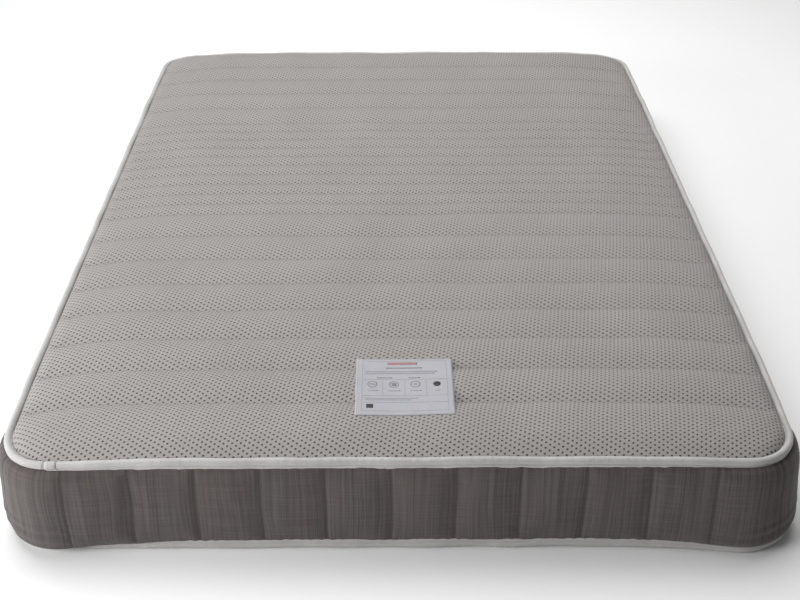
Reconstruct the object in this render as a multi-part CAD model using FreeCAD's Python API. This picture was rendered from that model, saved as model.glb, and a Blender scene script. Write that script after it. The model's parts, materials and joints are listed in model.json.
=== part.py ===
import FreeCAD, Part
import math
import os

# A double pocket-sprung mattress, in millimetres.
# X runs across it, Y from the foot end to the head end, Z up from the floor.
# The origin is on the floor under the middle. Every layer is worked out from the sizes below.

# Outside
WIDTH = 1350.0  # over the border at its fullest
LENGTH = 1900.0
CORNER_RADIUS = 92.0  # of the border, seen from above
TOP_EDGE = 190.0  # height of the top seam
BOTTOM_EDGE = 11.5  # height of the bottom seam
CROWN = 24.0  # how far the middle of the top stands above its seam
SHOULDER = 90.0  # width at the sides and ends over which the top falls to the seam

# Quilted top
FABRIC = 2.0  # air-mesh knit
WADDING = 14.0
BACKING = 1.0
QUILT_MARGIN = 150.0  # from each end to the first quilting line
WIDE_CHANNEL = 100.0
NARROW_CHANNEL = 50.0  # across the hip and back area
WIDE_CHANNELS_AT_FOOT = 7
NARROW_CHANNELS = 10
WIDE_CHANNELS_AT_HEAD = 4
QUILT_DEPTH = 5.0  # of a quilting line below the channel beside it
END_SLOPE = 3.0  # how much lower the end channels are at their middle, where they slope to the seam

# Border
BULGE = 4.0  # of the border's outer face between its seams
INNER_BULGE = 0.5  # of its inner face, which is almost straight
BORDER_FABRIC = 1.5
BORDER_WADDING = 8.0
BORDER_BACKING = 0.8
BORDER_SEAMS = 58  # upright quilting seams, evenly spaced round the border
FIRST_SEAM = -16.0  # round the border from the middle of the foot end

# Bound edges
TOP_BEAD = 6.2  # radius of the tape where it is folded over the top seam
BOTTOM_BEAD = 6.0
BEAD_INSET = 5.0  # of the bead's centre from the border's face
TAPE = 1.4  # thickness
TAPE_HEM = 4.0  # of the tape that is sewn flat to the border beyond the bead
JOIN_LENGTH = 26.0  # of the overlap where a tape's ends meet
THREAD = 0.8

# Base
BASE_FABRIC = 2.0
BASE_WADDING = 6.0
BASE_ROUNDING = 11.0  # of the underside's edge, up to the bottom seam

# Inside
FELT = 6.0  # insulator pads above and below the springs
SCRIM = 1.0  # sheets that hold the pocket strings together
COMFORT_FOAM = 25.0  # at its edge; the crown is added to it
SPRING_PITCH = 62.5
STRINGS = 19  # pocket strings side by side across the width
POCKETS = 28  # pockets in each string, along the length
POCKET_WALL = 0.8
POCKET_GAP = 0.4  # between neighbouring strings
WELD_LENGTH = 6.0  # of the welded web between two pockets
ZONES = 7  # groups that the coils are kept in, foot to head
COIL_TURNS = 5
COIL_RADIUS = 27.0  # at its waist
COIL_END_RADIUS = 21.0
COIL_WIRE = 1.7  # side of a square section, as heavy as a 1.9 mm round wire

# Label
LABEL_WIDTH = 173.0
LABEL_LENGTH = 171.0
LABEL_THICKNESS = 0.5
LABEL_X = 10.0
LABEL_FROM_FOOT = 186.0  # from the foot end to the label's middle

CLEARANCE = 0.1  # between neighbouring layers
FULLNESS = BULGE + CLEARANCE + THREAD  # the border's widest, threads and all, beyond its seams
HALF_WIDTH = WIDTH / 2 - FULLNESS  # to the border's face at its seams
HALF_LENGTH = LENGTH / 2 - FULLNESS
PANEL_INSET = BEAD_INSET + TOP_BEAD + CLEARANCE
CORE_INSET = BORDER_FABRIC + BORDER_WADDING + BORDER_BACKING + CLEARANCE
BORDER_FOOT = BOTTOM_EDGE + BOTTOM_BEAD + CLEARANCE
BORDER_HEAD = TOP_EDGE - TOP_BEAD - CLEARANCE
ABOVE_ALL = TOP_EDGE + 2 * CROWN  # a height that clears the whole mattress
UP = FreeCAD.Vector(0, 0, 1)

# Heights of the flat layers, from the floor up
FELT_BASE = BASE_FABRIC + BASE_WADDING
SCRIM_BASE = FELT_BASE + FELT
SPRING_BASE = SCRIM_BASE + SCRIM
FOAM_BASE = TOP_EDGE - FABRIC - WADDING - BACKING - COMFORT_FOAM
SPRING_TOP = FOAM_BASE - FELT - SCRIM

POINTS_PER_TURN = 6  # that a coil's curve is drawn through
END_TURN_FLATNESS = 0.05  # how much slower a coil climbs at its ends


def point(x, y, z):
    """A place or a direction."""
    return FreeCAD.Vector(x, y, z)


def quilting_lines():
    """The Y of each quilting line, from the foot end."""
    channels = (
        [WIDE_CHANNEL] * WIDE_CHANNELS_AT_FOOT
        + [NARROW_CHANNEL] * NARROW_CHANNELS
        + [WIDE_CHANNEL] * WIDE_CHANNELS_AT_HEAD
    )
    lines = [QUILT_MARGIN - LENGTH / 2]
    for channel in channels:
        lines.append(lines[-1] + channel)
    return lines


def outline(inset, height=0.0):
    """A rounded rectangle, a distance inside the border's face at its seams."""
    r = CORNER_RADIUS - inset
    arcs = []
    for corner, (sx, sy) in enumerate(((1, 1), (-1, 1), (-1, -1), (1, -1))):
        centre = point(sx * (HALF_WIDTH - CORNER_RADIUS), sy * (HALF_LENGTH - CORNER_RADIUS), height)
        turns = [math.pi / 2 * corner + part for part in (0, math.pi / 4, math.pi / 2)]
        arcs.append([centre + point(math.cos(turn), math.sin(turn), 0) * r for turn in turns])
    edges = []
    for arc, following in zip(arcs, arcs[1:] + arcs[:1]):
        edges.append(Part.Arc(*arc).toShape())
        edges.append(Part.LineSegment(arc[-1], following[0]).toShape())
    return Part.Wire(edges)


def slab(inset, bottom, top):
    """A flat layer with the outline's shape."""
    return Part.Face(outline(inset, bottom)).extrude(UP * (top - bottom))


def block(x_range, y_range, z_range):
    """A box between two values on each axis."""
    size = [high - low for low, high in (x_range, y_range, z_range)]
    return Part.makeBox(*size, point(x_range[0], y_range[0], z_range[0]))


def carried_round(section):
    """A closed section, drawn in XZ with X measured from the border's face, taken round the outline."""
    straight_x = HALF_WIDTH - CORNER_RADIUS
    straight_y = HALF_LENGTH - CORNER_RADIUS
    at_corner = section.translated(point(CORNER_RADIUS, 0, 0))
    right = at_corner.translated(point(straight_x, -straight_y, 0)).extrude(point(0, 2 * straight_y, 0))
    head = at_corner.rotated(point(0, 0, 0), UP, 90).translated(point(straight_x, straight_y, 0))
    head = head.extrude(point(-2 * straight_x, 0, 0))
    near = at_corner.translated(point(straight_x, straight_y, 0))
    near = near.revolve(point(straight_x, straight_y, 0), UP, 90)
    far = at_corner.rotated(point(0, 0, 0), UP, 90).translated(point(-straight_x, straight_y, 0))
    far = far.revolve(point(-straight_x, straight_y, 0), UP, 90)
    half = [right, near, head, far]
    rest = [piece.rotated(point(0, 0, 0), UP, 180) for piece in half]
    return right.multiFuse(half[1:] + rest).removeSplitter()


def arc_over(start, end, rise):
    """An arc between two points, rising this far above the middle of the line between them."""
    middle = (start + end) * 0.5 + UP * rise
    return Part.Arc(start, middle, end).toShape()


def shoulder_section(half, rise):
    """A section between two seams: flat in the middle, an arc down to each seam."""
    top = TOP_EDGE + rise
    radius = (SHOULDER**2 + rise**2) / (2 * rise)
    half_angle = math.asin(SHOULDER / radius) / 2
    edges = []
    for side in (-1, 1):
        flat_end = point(side * (half - SHOULDER), 0, top)
        on_arc = flat_end + point(side * math.sin(half_angle), 0, math.cos(half_angle) - 1) * radius
        edges.append(Part.Arc(flat_end, on_arc, point(side * half, 0, TOP_EDGE)).toShape())
    flat = half - SHOULDER
    corners = [
        point(-half, 0, TOP_EDGE),
        point(-half, 0, 0),
        point(half, 0, 0),
        point(half, 0, TOP_EDGE),
    ]
    edges.append(Part.LineSegment(point(-flat, 0, top), point(flat, 0, top)).toShape())
    edges += [Part.LineSegment(a, b).toShape() for a, b in zip(corners, corners[1:])]
    return Part.Face(Part.Wire(Part.__sortEdges__(edges)))


def channel_section():
    """The quilted top in section along its length: one arc for each channel, drawn in YZ."""
    line_height = TOP_EDGE + CROWN - QUILT_DEPTH
    lines = [point(0, y, line_height) for y in quilting_lines()]
    foot = point(0, -HALF_LENGTH, TOP_EDGE)
    head = point(0, HALF_LENGTH, TOP_EDGE)
    stops = [foot] + lines + [head]
    edges = []
    for start, end in zip(stops, stops[1:]):
        rise = TOP_EDGE + CROWN - (start.z + end.z) / 2
        if start is foot or end is head:
            rise -= END_SLOPE
        edges.append(arc_over(start, end, rise))
    corners = [head, point(0, HALF_LENGTH, 0), point(0, -HALF_LENGTH, 0), foot]
    edges += [Part.LineSegment(a, b).toShape() for a, b in zip(corners, corners[1:])]
    return Part.Face(Part.Wire(Part.__sortEdges__(edges)))


def across_shoulders():
    """Everything below the fall to the side seams, which clears the middle of the top."""
    section = shoulder_section(HALF_WIDTH, CROWN + QUILT_DEPTH)
    return section.translated(point(0, -LENGTH / 2, 0)).extrude(point(0, LENGTH, 0))


def below_quilting(drop):
    """Everything this far below the quilted top."""
    channels = channel_section().translated(point(-WIDTH / 2, 0, 0)).extrude(point(WIDTH, 0, 0))
    return channels.common(across_shoulders()).translated(UP * -drop)


def below_crown(drop):
    """Everything this far below the top as it would be without its quilting."""
    ends = shoulder_section(HALF_LENGTH, CROWN).rotated(point(0, 0, 0), UP, 90)
    ends = ends.translated(point(-WIDTH / 2, 0, 0)).extrude(point(WIDTH, 0, 0))
    return ends.common(across_shoulders()).translated(UP * -drop)


def top_cover():
    """The quilted top: knitted fabric, wadding and the sheet it is quilted to."""
    panel = slab(PANEL_INSET, 0, ABOVE_ALL)
    backing_top = FABRIC + WADDING
    return {
        "top_panel": below_quilting(0).common(panel).cut(below_quilting(FABRIC)),
        "top_wadding": below_quilting(FABRIC).common(panel).cut(below_crown(backing_top)),
        "top_backing": below_crown(backing_top).common(panel).cut(below_crown(backing_top + BACKING)),
    }


def comfort_foam():
    """The foam layer under the quilting, crowned above and flat below."""
    return below_crown(FABRIC + WADDING + BACKING).common(slab(CORE_INSET, FOAM_BASE, ABOVE_ALL))


def quilting_threads():
    """One thread along each quilting line, on top of the fabric, as far as the shoulders."""
    bed = TOP_EDGE + CROWN - QUILT_DEPTH + CLEARANCE
    reach = HALF_WIDTH - SHOULDER
    runs = []
    for y in quilting_lines():
        y_range = (y - THREAD / 2, y + THREAD / 2)
        runs.append(block((-reach, reach), y_range, (bed, bed + THREAD)))
    return Part.makeCompound(runs)


def border_line(offset, bulge):
    """One face of the border in section: an upright arc from seam to seam."""
    middle = (BORDER_FOOT + BORDER_HEAD) / 2
    return Part.Arc(
        point(offset, 0, BORDER_FOOT),
        point(offset + bulge, 0, middle),
        point(offset, 0, BORDER_HEAD),
    ).toShape()


def border_section(outer, outer_bulge, inner, inner_bulge):
    """The closed section between two faces of the border."""
    edges = [border_line(outer, outer_bulge), border_line(inner, inner_bulge)]
    for height in (BORDER_FOOT, BORDER_HEAD):
        edges.append(Part.LineSegment(point(outer, 0, height), point(inner, 0, height)).toShape())
    return Part.Face(Part.Wire(Part.__sortEdges__(edges)))


def border():
    """The quilted strip round the sides, in its three layers."""
    wadding_face = -BORDER_FABRIC
    backing_face = wadding_face - BORDER_WADDING
    back = backing_face - BORDER_BACKING
    return {
        "border_fabric": carried_round(border_section(0, BULGE, wadding_face, BULGE)),
        "border_wadding": carried_round(border_section(wadding_face, BULGE, backing_face, INNER_BULGE)),
        "border_backing": carried_round(border_section(backing_face, INNER_BULGE, back, INNER_BULGE)),
    }


def place_on_outline(distance):
    """Where a distance round the outline, from the middle of the foot end, comes to, and its outward angle."""
    straight_x = HALF_WIDTH - CORNER_RADIUS
    straight_y = HALF_LENGTH - CORNER_RADIUS
    corner = math.pi / 2 * CORNER_RADIUS
    sides = (
        (2 * straight_x, point(-straight_x, -HALF_LENGTH, 0), point(1, 0, 0), -90),
        (2 * straight_y, point(HALF_WIDTH, -straight_y, 0), point(0, 1, 0), 0),
        (2 * straight_x, point(straight_x, HALF_LENGTH, 0), point(-1, 0, 0), 90),
        (2 * straight_y, point(-HALF_WIDTH, straight_y, 0), point(0, -1, 0), 180),
    )
    left = (distance + straight_x) % outline_length()
    for length, start, along, angle in sides:
        if left <= length:
            return start + along * left, angle
        left -= length
        if left <= corner:
            turned = left / corner * 90
            out = math.radians(angle + turned)
            outward = point(math.cos(math.radians(angle)), math.sin(math.radians(angle)), 0)
            centre = start + along * length - outward * CORNER_RADIUS
            return centre + point(math.cos(out), math.sin(out), 0) * CORNER_RADIUS, angle + turned
        left -= corner
    return sides[0][1], sides[0][3]


def outline_length():
    """Once round the border's face at its seams."""
    straights = 4 * (HALF_WIDTH + HALF_LENGTH - 2 * CORNER_RADIUS)
    return straights + 2 * math.pi * CORNER_RADIUS


def border_threads():
    """The upright seams that quilt the border, one thread each, all round."""
    section = border_section(CLEARANCE + THREAD, BULGE, CLEARANCE, BULGE)
    hem = TAPE_HEM + CLEARANCE
    section = section.common(patch((0, WIDTH), (BORDER_FOOT + hem, BORDER_HEAD - hem)))
    thread = section.translated(point(0, -THREAD / 2, 0)).extrude(point(0, THREAD, 0))
    threads = []
    for seam in range(BORDER_SEAMS):
        spot, angle = place_on_outline(FIRST_SEAM + outline_length() * seam / BORDER_SEAMS)
        threads.append(thread.rotated(point(0, 0, 0), UP, angle).translated(spot))
    return Part.makeCompound(threads)


def disc(radius, height):
    """A round section, centred where the edge's bead is."""
    circle = Part.Circle(point(-BEAD_INSET, 0, height), point(0, -1, 0), radius)
    return Part.Face(Part.Wire(circle.toShape()))


def patch(x_range, z_range):
    """A rectangular section."""
    corners = [
        point(x_range[0], 0, z_range[0]),
        point(x_range[1], 0, z_range[0]),
        point(x_range[1], 0, z_range[1]),
        point(x_range[0], 0, z_range[1]),
    ]
    return Part.Face(Part.makePolygon(corners + corners[:1]))


def bound_edge(name, height, bead, to_border, join_distance):
    """One bound seam: the sewn edges of the cloth, the tape folded over them, its thread and its join.

    to_border is -1 where the border hangs below the seam and 1 where it stands above it.
    """
    inside = -BEAD_INSET - bead - CLEARANCE
    tongue = patch((inside, -BEAD_INSET), (height - TAPE, height + TAPE))
    core = disc(bead - TAPE, height).fuse(tongue).removeSplitter().Faces[0]
    hem_heights = sorted((height, height + to_border * (bead + TAPE_HEM)))
    hem = patch((INNER_BULGE, INNER_BULGE + TAPE), hem_heights)
    folded = disc(bead, height).fuse(hem).removeSplitter()
    folded = folded.cut(core).Faces[0]
    thread_height = height + to_border * (bead + TAPE_HEM / 2)
    thread_face = INNER_BULGE + TAPE + CLEARANCE
    thread = patch(
        (thread_face, thread_face + THREAD), (thread_height - THREAD / 2, thread_height + THREAD / 2)
    )
    overlap = disc(bead + CLEARANCE + TAPE, height).cut(disc(bead + CLEARANCE, height))
    away = sorted((height, height - to_border * 2 * bead))
    overlap = overlap.common(patch((-BEAD_INSET, 2 * bead), away)).Faces[0]
    spot, angle = place_on_outline(join_distance)
    join = overlap.translated(point(0, -JOIN_LENGTH / 2, 0)).extrude(point(0, JOIN_LENGTH, 0))
    return {
        f"{name}_seam_edge": carried_round(core),
        f"{name}_tape": carried_round(folded),
        f"{name}_tape_thread": carried_round(thread),
        f"{name}_tape_join": join.rotated(point(0, 0, 0), UP, angle).translated(spot),
    }


def rounded_tray(inset, bottom, top, rounding):
    """A layer whose lower edge is rounded."""
    layer = slab(inset, bottom, top)
    low = [edge for edge in layer.Edges if edge.BoundBox.ZMax < bottom + CLEARANCE]
    return layer.makeFillet(rounding, low)


def base():
    """The underside: a cloth tray up to the bottom seam, with a thin wadding in it."""
    edge_inset = BEAD_INSET + BOTTOM_BEAD + CLEARANCE
    whole = rounded_tray(edge_inset, 0, BOTTOM_EDGE, BASE_ROUNDING)
    room = rounded_tray(
        edge_inset + BASE_FABRIC, BASE_FABRIC, BOTTOM_EDGE + BASE_FABRIC, BASE_ROUNDING - BASE_FABRIC
    )
    return {
        "base_panel": whole.cut(room),
        "base_wadding": room.common(slab(0, BASE_FABRIC, BASE_FABRIC + BASE_WADDING)),
    }


def care_label():
    """The information label, bridging the quilting, and the thread that holds its edges."""
    middle_y = LABEL_FROM_FOOT - LENGTH / 2
    sheet_base = TOP_EDGE + CROWN + CLEARANCE
    thread_base = sheet_base + LABEL_THICKNESS

    def footprint(margin, bottom, top):
        half_x = LABEL_WIDTH / 2 - margin
        half_y = LABEL_LENGTH / 2 - margin
        x_range = (LABEL_X - half_x, LABEL_X + half_x)
        return block(x_range, (middle_y - half_y, middle_y + half_y), (bottom, top))

    outer = footprint(THREAD, thread_base, thread_base + THREAD / 2)
    inner = footprint(2 * THREAD, thread_base, thread_base + THREAD / 2)
    return {
        "care_label": footprint(0, sheet_base, thread_base),
        "label_thread": outer.cut(inner),
    }


def foam_rails():
    """Firm foam round the springs, cut in four lengths."""
    side = HALF_WIDTH - CORE_INSET
    end = HALF_LENGTH - CORE_INSET
    springs_x = STRINGS * SPRING_PITCH / 2
    springs_y = POCKETS * SPRING_PITCH / 2
    heights = (SPRING_BASE, SPRING_TOP)
    limit = slab(CORE_INSET, *heights)
    room_x = springs_x + CLEARANCE
    room_y = springs_y + CLEARANCE
    rails = {
        "foam_rail_left": ((-side, -room_x), (-room_y, room_y)),
        "foam_rail_right": ((room_x, side), (-room_y, room_y)),
        "foam_rail_foot": ((-side, side), (-end, -room_y)),
        "foam_rail_head": ((-side, side), (room_y, end)),
    }
    return {name: block(xs, ys, heights).common(limit) for name, (xs, ys) in rails.items()}


def string_x(string):
    """The X of a pocket string's middle."""
    return (string - (STRINGS - 1) / 2) * SPRING_PITCH


def pocket_y(pocket):
    """The Y of a pocket's middle."""
    return (pocket - (POCKETS - 1) / 2) * SPRING_PITCH


def pocket_string():
    """One string of cloth pockets, welded to each other, with a hollow in each for its coil."""
    radius = (SPRING_PITCH - POCKET_GAP) / 2
    height = SPRING_TOP - SPRING_BASE
    pockets = []
    hollows = []
    for pocket in range(POCKETS):
        y = pocket_y(pocket)
        pockets.append(Part.makeCylinder(radius, height, point(0, y, SPRING_BASE)))
        inner_foot = point(0, y, SPRING_BASE + POCKET_WALL)
        hollows.append(Part.makeCylinder(radius - POCKET_WALL, height - 2 * POCKET_WALL, inner_foot))
    welds = []
    for pocket in range(1, POCKETS):
        y = (pocket_y(pocket - 1) + pocket_y(pocket)) / 2
        y_range = (y - WELD_LENGTH / 2, y + WELD_LENGTH / 2)
        welds.append(block((-POCKET_WALL, POCKET_WALL), y_range, (SPRING_BASE, SPRING_TOP)))
    return pockets[0].multiFuse(pockets[1:] + welds).removeSplitter().cut(hollows)


def coil():
    """A barrel-shaped coil with flat end turns, standing on the floor of its pocket."""
    low = SPRING_BASE + POCKET_WALL + CLEARANCE + COIL_WIRE / 2
    high = SPRING_TOP - POCKET_WALL - CLEARANCE - COIL_WIRE / 2
    count = COIL_TURNS * POINTS_PER_TURN
    half = COIL_WIRE / 2
    curves = []
    for out, lift in ((half, -half), (half, half), (-half, half), (-half, -half)):
        points = []
        for step in range(count + 1):
            part = step / count
            angle = 2 * math.pi * COIL_TURNS * part
            waist = math.sin(math.pi * part)
            radius = COIL_END_RADIUS + (COIL_RADIUS - COIL_END_RADIUS) * waist + out
            climb = part - math.sin(4 * math.pi * part) * END_TURN_FLATNESS
            height = low + (high - low) * climb + lift
            points.append(point(radius * math.cos(angle), radius * math.sin(angle), height))
        curve = Part.BSplineCurve()
        curve.interpolate(points)
        curves.append(curve.toShape())
    sides = [Part.makeRuledSurface(a, b, 1) for a, b in zip(curves, curves[1:] + curves[:1])]
    ends = []
    for end in (0, -1):
        corners = [curve.Vertexes[end].Point for curve in curves]
        ends.append(Part.Face(Part.makePolygon(corners + corners[:1])))
    skin = Part.makeShell(sides + ends)
    skin.sewShape()
    return Part.Solid(skin)


def spring_unit():
    """The pocket strings side by side, and the coils in them kept by zone."""
    parts = {}
    string = pocket_string()
    for number in range(STRINGS):
        parts[f"pocket_string_{number + 1:02}"] = string.translated(point(string_x(number), 0, 0))
    spring = coil()
    for zone in range(ZONES):
        pockets = range(POCKETS * zone // ZONES, POCKETS * (zone + 1) // ZONES)
        places = [point(string_x(s), pocket_y(p), 0) for s in range(STRINGS) for p in pockets]
        parts[f"coil_springs_zone_{zone + 1}"] = Part.makeCompound([spring.translated(p) for p in places])
    return parts


def pads():
    """The flat layers above and below the springs."""
    return {
        "bottom_felt": slab(CORE_INSET + BASE_ROUNDING, FELT_BASE, SCRIM_BASE),
        "bottom_scrim": slab(CORE_INSET + BORDER_BACKING, SCRIM_BASE, SPRING_BASE),
        "top_scrim": slab(CORE_INSET, SPRING_TOP, SPRING_TOP + SCRIM),
        "top_felt": slab(CORE_INSET, SPRING_TOP + SCRIM, FOAM_BASE),
    }


def build():
    """Every piece of the mattress, by name."""
    beside_corner = HALF_WIDTH - CORNER_RADIUS - JOIN_LENGTH / 2 - CLEARANCE
    top_seam = bound_edge("top", TOP_EDGE, TOP_BEAD, -1, -beside_corner)
    bottom_seam = bound_edge("bottom", BOTTOM_EDGE, BOTTOM_BEAD, 1, outline_length() / 2)
    return {
        **top_cover(),
        "quilting_threads": quilting_threads(),
        **care_label(),
        **border(),
        "border_threads": border_threads(),
        **top_seam,
        **bottom_seam,
        **base(),
        "comfort_foam": comfort_foam(),
        **pads(),
        **foam_rails(),
        **spring_unit(),
    }


os.makedirs("parts", exist_ok=True)
for node, shape in build().items():
    shape.exportStep(f"parts/{node}.step")
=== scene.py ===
"""Looks of the quilted mattress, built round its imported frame. Metres, +Z up, head end towards +Y."""

import json
import math

import bpy
import numpy as np
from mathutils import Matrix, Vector
from mathutils.bvhtree import BVHTree


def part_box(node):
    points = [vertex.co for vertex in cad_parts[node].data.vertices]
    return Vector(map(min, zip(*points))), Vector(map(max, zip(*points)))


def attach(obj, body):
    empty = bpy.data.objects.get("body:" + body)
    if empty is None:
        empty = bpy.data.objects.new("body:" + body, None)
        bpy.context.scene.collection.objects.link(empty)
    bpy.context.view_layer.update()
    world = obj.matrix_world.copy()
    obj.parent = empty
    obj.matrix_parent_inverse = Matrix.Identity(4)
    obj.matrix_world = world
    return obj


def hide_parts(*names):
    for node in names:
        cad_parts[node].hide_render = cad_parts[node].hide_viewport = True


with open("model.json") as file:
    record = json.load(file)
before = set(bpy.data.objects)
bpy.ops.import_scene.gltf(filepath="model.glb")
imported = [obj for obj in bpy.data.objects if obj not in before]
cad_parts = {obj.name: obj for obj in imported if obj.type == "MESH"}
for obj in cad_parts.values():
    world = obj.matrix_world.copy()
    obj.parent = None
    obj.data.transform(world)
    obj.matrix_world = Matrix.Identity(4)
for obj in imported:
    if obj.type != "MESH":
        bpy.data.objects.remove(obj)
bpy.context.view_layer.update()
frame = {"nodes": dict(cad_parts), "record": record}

# The border, from its CAD box
BORDER_PUFF = 0.004  # how far the CAD border stands out between its seams
CORNER_RADIUS = 0.092
SEAM_COUNT = 58  # upright seams round the border
SEAM_SHIFT = -0.016  # of the first seam from the middle of the foot end
border_low, border_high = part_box("border_fabric")
HALF_WIDTH = border_high.x - BORDER_PUFF
HALF_LENGTH = border_high.y - BORDER_PUFF
CORE_X = HALF_WIDTH - CORNER_RADIUS  # centres of the corner arcs
CORE_Y = HALF_LENGTH - CORNER_RADIUS
CORNER_ARC = CORNER_RADIUS * math.pi / 2
ROUND = 4 * (CORE_X + CORE_Y + CORNER_ARC)  # length of the border
SEAM_PITCH = ROUND / SEAM_COUNT
BORDER_THICKNESS = 0.0092

# Heights of the two taped seams
TOP_SEAM = sum(corner.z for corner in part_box("top_seam_edge")) / 2
BOTTOM_SEAM = sum(corner.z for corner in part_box("bottom_seam_edge")) / 2
TOP_BEAD = 0.0061  # radius of the tape where it is folded over the seam
BOTTOM_BEAD = 0.0070
BOTTOM_SINK = 0.0022  # of the bottom tape under the mattress's weight
BEAD_INSET = 0.0034  # of the bead's middle from the border's face
HEM = 0.0044  # of the tape that lies flat on the border

# What the corners do: the top sinks there, the border stands out, and the bottom spreads
CORNER_REACH = 0.16
CORNER_DROP = 0.008  # of the top seam
CORNER_BULGE = 0.0155  # of the border, beyond what it stands out along the sides
SIDE_BULGE = 0.0035
CORNER_SPREAD = 0.019  # of the border's foot, with its tape and the underside
TUCKED_SPREAD = 0.009  # of the border's foot alone, at the one corner where the tape is tucked under
TAPE_BEYOND = 0.002  # how much further the tape spreads, or is tucked in
CORNER_SAG = 0.002  # of the border over the bottom tape
TUCKED_SAG = 0.0065  # the same at the tucked corner

# The quilted top
PANEL_INSET = 0.0098  # of its edge from the border's face
QUILT_MARGIN = 0.1451  # from the border's face to the outermost lines
CHANNELS = [0.1] * 7 + [0.05] * 10 + [0.1] * 4  # from the foot end
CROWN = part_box("top_panel")[1].z - TOP_SEAM - 0.005  # before its channels swell
EDGE_ROLL = 0.030  # width over which the cover curls down into the seam
EDGE_ROLL_HEIGHT = 0.009
SHOULDER = 0.20  # width over which it goes on rising to the crown
LINE_DEPTH = 0.0042  # of a quilting line before the channels swell
LINE_REACH = 0.025  # from a line to where the cover is no longer drawn down by it
LINE_BOW = 0.016  # how far a quilting line bends towards the foot end at the sides
COVER_THICKNESS = 0.0168  # knit, wadding and backing together

# The label
LABEL_WIDTH = 0.173
LABEL_LENGTH = 0.171
LABEL_AT = (0.010, -HALF_LENGTH + 0.181)
LABEL_THICKNESS = 0.0005
LABEL_HEM = 0.0025  # from its edge to its sewing
PRINT_THICKNESS = 0.00012
PRINT_RAISED = 0.0002  # of a mark's upper face over the label's

# The underside
BASE_INSET = 0.004  # of its edge from the border's face
BASE_ROUNDING = 0.011  # width over which it curves up to the bottom seam
BASE_EDGE = 0.001  # of its edge below the seam
BASE_FOLD = 0.0075  # width of the cloth turned in behind its edge
BASE_TOP = 0.0078  # height of its inner face

# Sewing: distance from stitch to stitch, length of a stitch and its thickness
QUILTING_STITCH = (0.0048, 0.0036, 0.0009)
BORDER_STITCH = (0.0042, 0.0032, 0.0008)
TAPE_STITCH = (0.0040, 0.0030, 0.0008)
LABEL_STITCH = (0.0040, 0.0029, 0.0006)

# Where each tape's two ends meet, round the border from the middle of the foot end
TOP_JOIN = -0.585
BOTTOM_JOIN = 0.9

# The studio. A light is its name, place, aim, size and power.
WORLD_STRENGTH = 0.12
LIGHTS = (
    ("key", (-2.7, -2.0, 1.1), (-0.3, -0.9, 0.1), 1.3, 84),
    ("overhead", (-0.5, 1.0, 3.5), (0, 0.2, 0.1), 4.0, 182),
)
CAMERA_AT = (-0.011, -2.5124, 1.4756)
CAMERA_DOWN = 31.795  # degrees below the level
CAMERA_TURN = -0.42  # degrees, anticlockwise from above
CAMERA_LENS = 54.95

UP = np.array([0.0, 0.0, 1.0])


# ---------------- shapes

def ripples(x, y, wavelength, seed, waves=14):
    """Smooth seeded unevenness between about -1 and 1, with features of about one wavelength."""
    random = np.random.default_rng(seed)
    total = np.zeros(np.broadcast(x, y).shape)
    for _ in range(waves):
        angle = random.uniform(0, 2 * math.pi)
        turns = 2 * math.pi / (wavelength * random.uniform(0.7, 1.6))
        phase = random.uniform(0, 2 * math.pi)
        total += np.cos((x * math.cos(angle) + y * math.sin(angle)) * turns + phase)
    return total / math.sqrt(waves) * 0.8


def wander(distance, wavelength, seed, waves=9):
    """Smooth seeded unevenness round the border, between about -1 and 1, that meets itself."""
    random = np.random.default_rng(seed)
    total = np.zeros(np.shape(distance))
    middle = ROUND / wavelength
    for _ in range(waves):
        times = round(middle * random.uniform(0.6, 1.5))
        total += np.cos(2 * math.pi * times * distance / ROUND + random.uniform(0, 2 * math.pi))
    return total / math.sqrt(waves) * 0.8


def smooth_step(value, low, high):
    """0 below low, 1 above high, and smooth between."""
    share = np.clip((value - low) / (high - low), 0, 1)
    return share * share * (3 - 2 * share)


def round_the_border(distance):
    """The arc centre and outward direction at a distance round, from the middle of the foot end."""
    side_leg = [CORNER_ARC, 2 * CORE_Y, CORNER_ARC]
    legs = [CORE_X] + side_leg + [2 * CORE_X] + side_leg + [CORE_X]
    signs = [(0, -1), (1, -1), (1, -1), (1, 1), (1, 1), (-1, 1), (-1, 1), (-1, -1), (-1, -1)]
    corners = np.array(signs, float) * (CORE_X, CORE_Y)
    steps = np.array([(1, 0), (0, 0), (0, 1), (0, 0), (-1, 0), (0, 0), (0, -1), (0, 0), (1, 0)], float)
    facing = np.radians([-90, -90, 0, 0, 90, 90, 180, 180, 270])
    bends = np.array([0, 1, 0, 1, 0, 1, 0, 1, 0]) / CORNER_RADIUS
    starts = np.concatenate([[0], np.cumsum(legs)])
    gone = np.mod(distance, ROUND)
    leg = np.clip(np.searchsorted(starts, gone, side="right") - 1, 0, len(legs) - 1)
    into = gone - starts[leg]
    centre = corners[leg] + steps[leg] * into[..., None]
    angle = facing[leg] + bends[leg] * into
    return centre, np.stack([np.cos(angle), np.sin(angle)], axis=-1)


def at_border(distance, outward, height):
    """Points beside the border's face: distance round it, outward from it, and height above the floor."""
    distance, outward, height = np.broadcast_arrays(distance, outward, height)
    centre, facing = round_the_border(distance)
    flat = centre + facing * (CORNER_RADIUS + outward)[..., None]
    return np.concatenate([flat, height[..., None]], axis=-1)


def cornerness(x, y):
    """1 at the middle of a corner, falling smoothly to 0 a little way along its two sides."""
    middle = CORNER_RADIUS / math.sqrt(2)
    away = np.hypot(np.abs(x) - CORE_X - middle, np.abs(y) - CORE_Y - middle)
    return np.exp(-(away / CORNER_REACH) ** 2)


def tucked(x, y):
    """Whether a place is in the quarter whose bottom tape is tucked under: left, at the foot end."""
    return (x < 0) & (y < 0)


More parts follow.
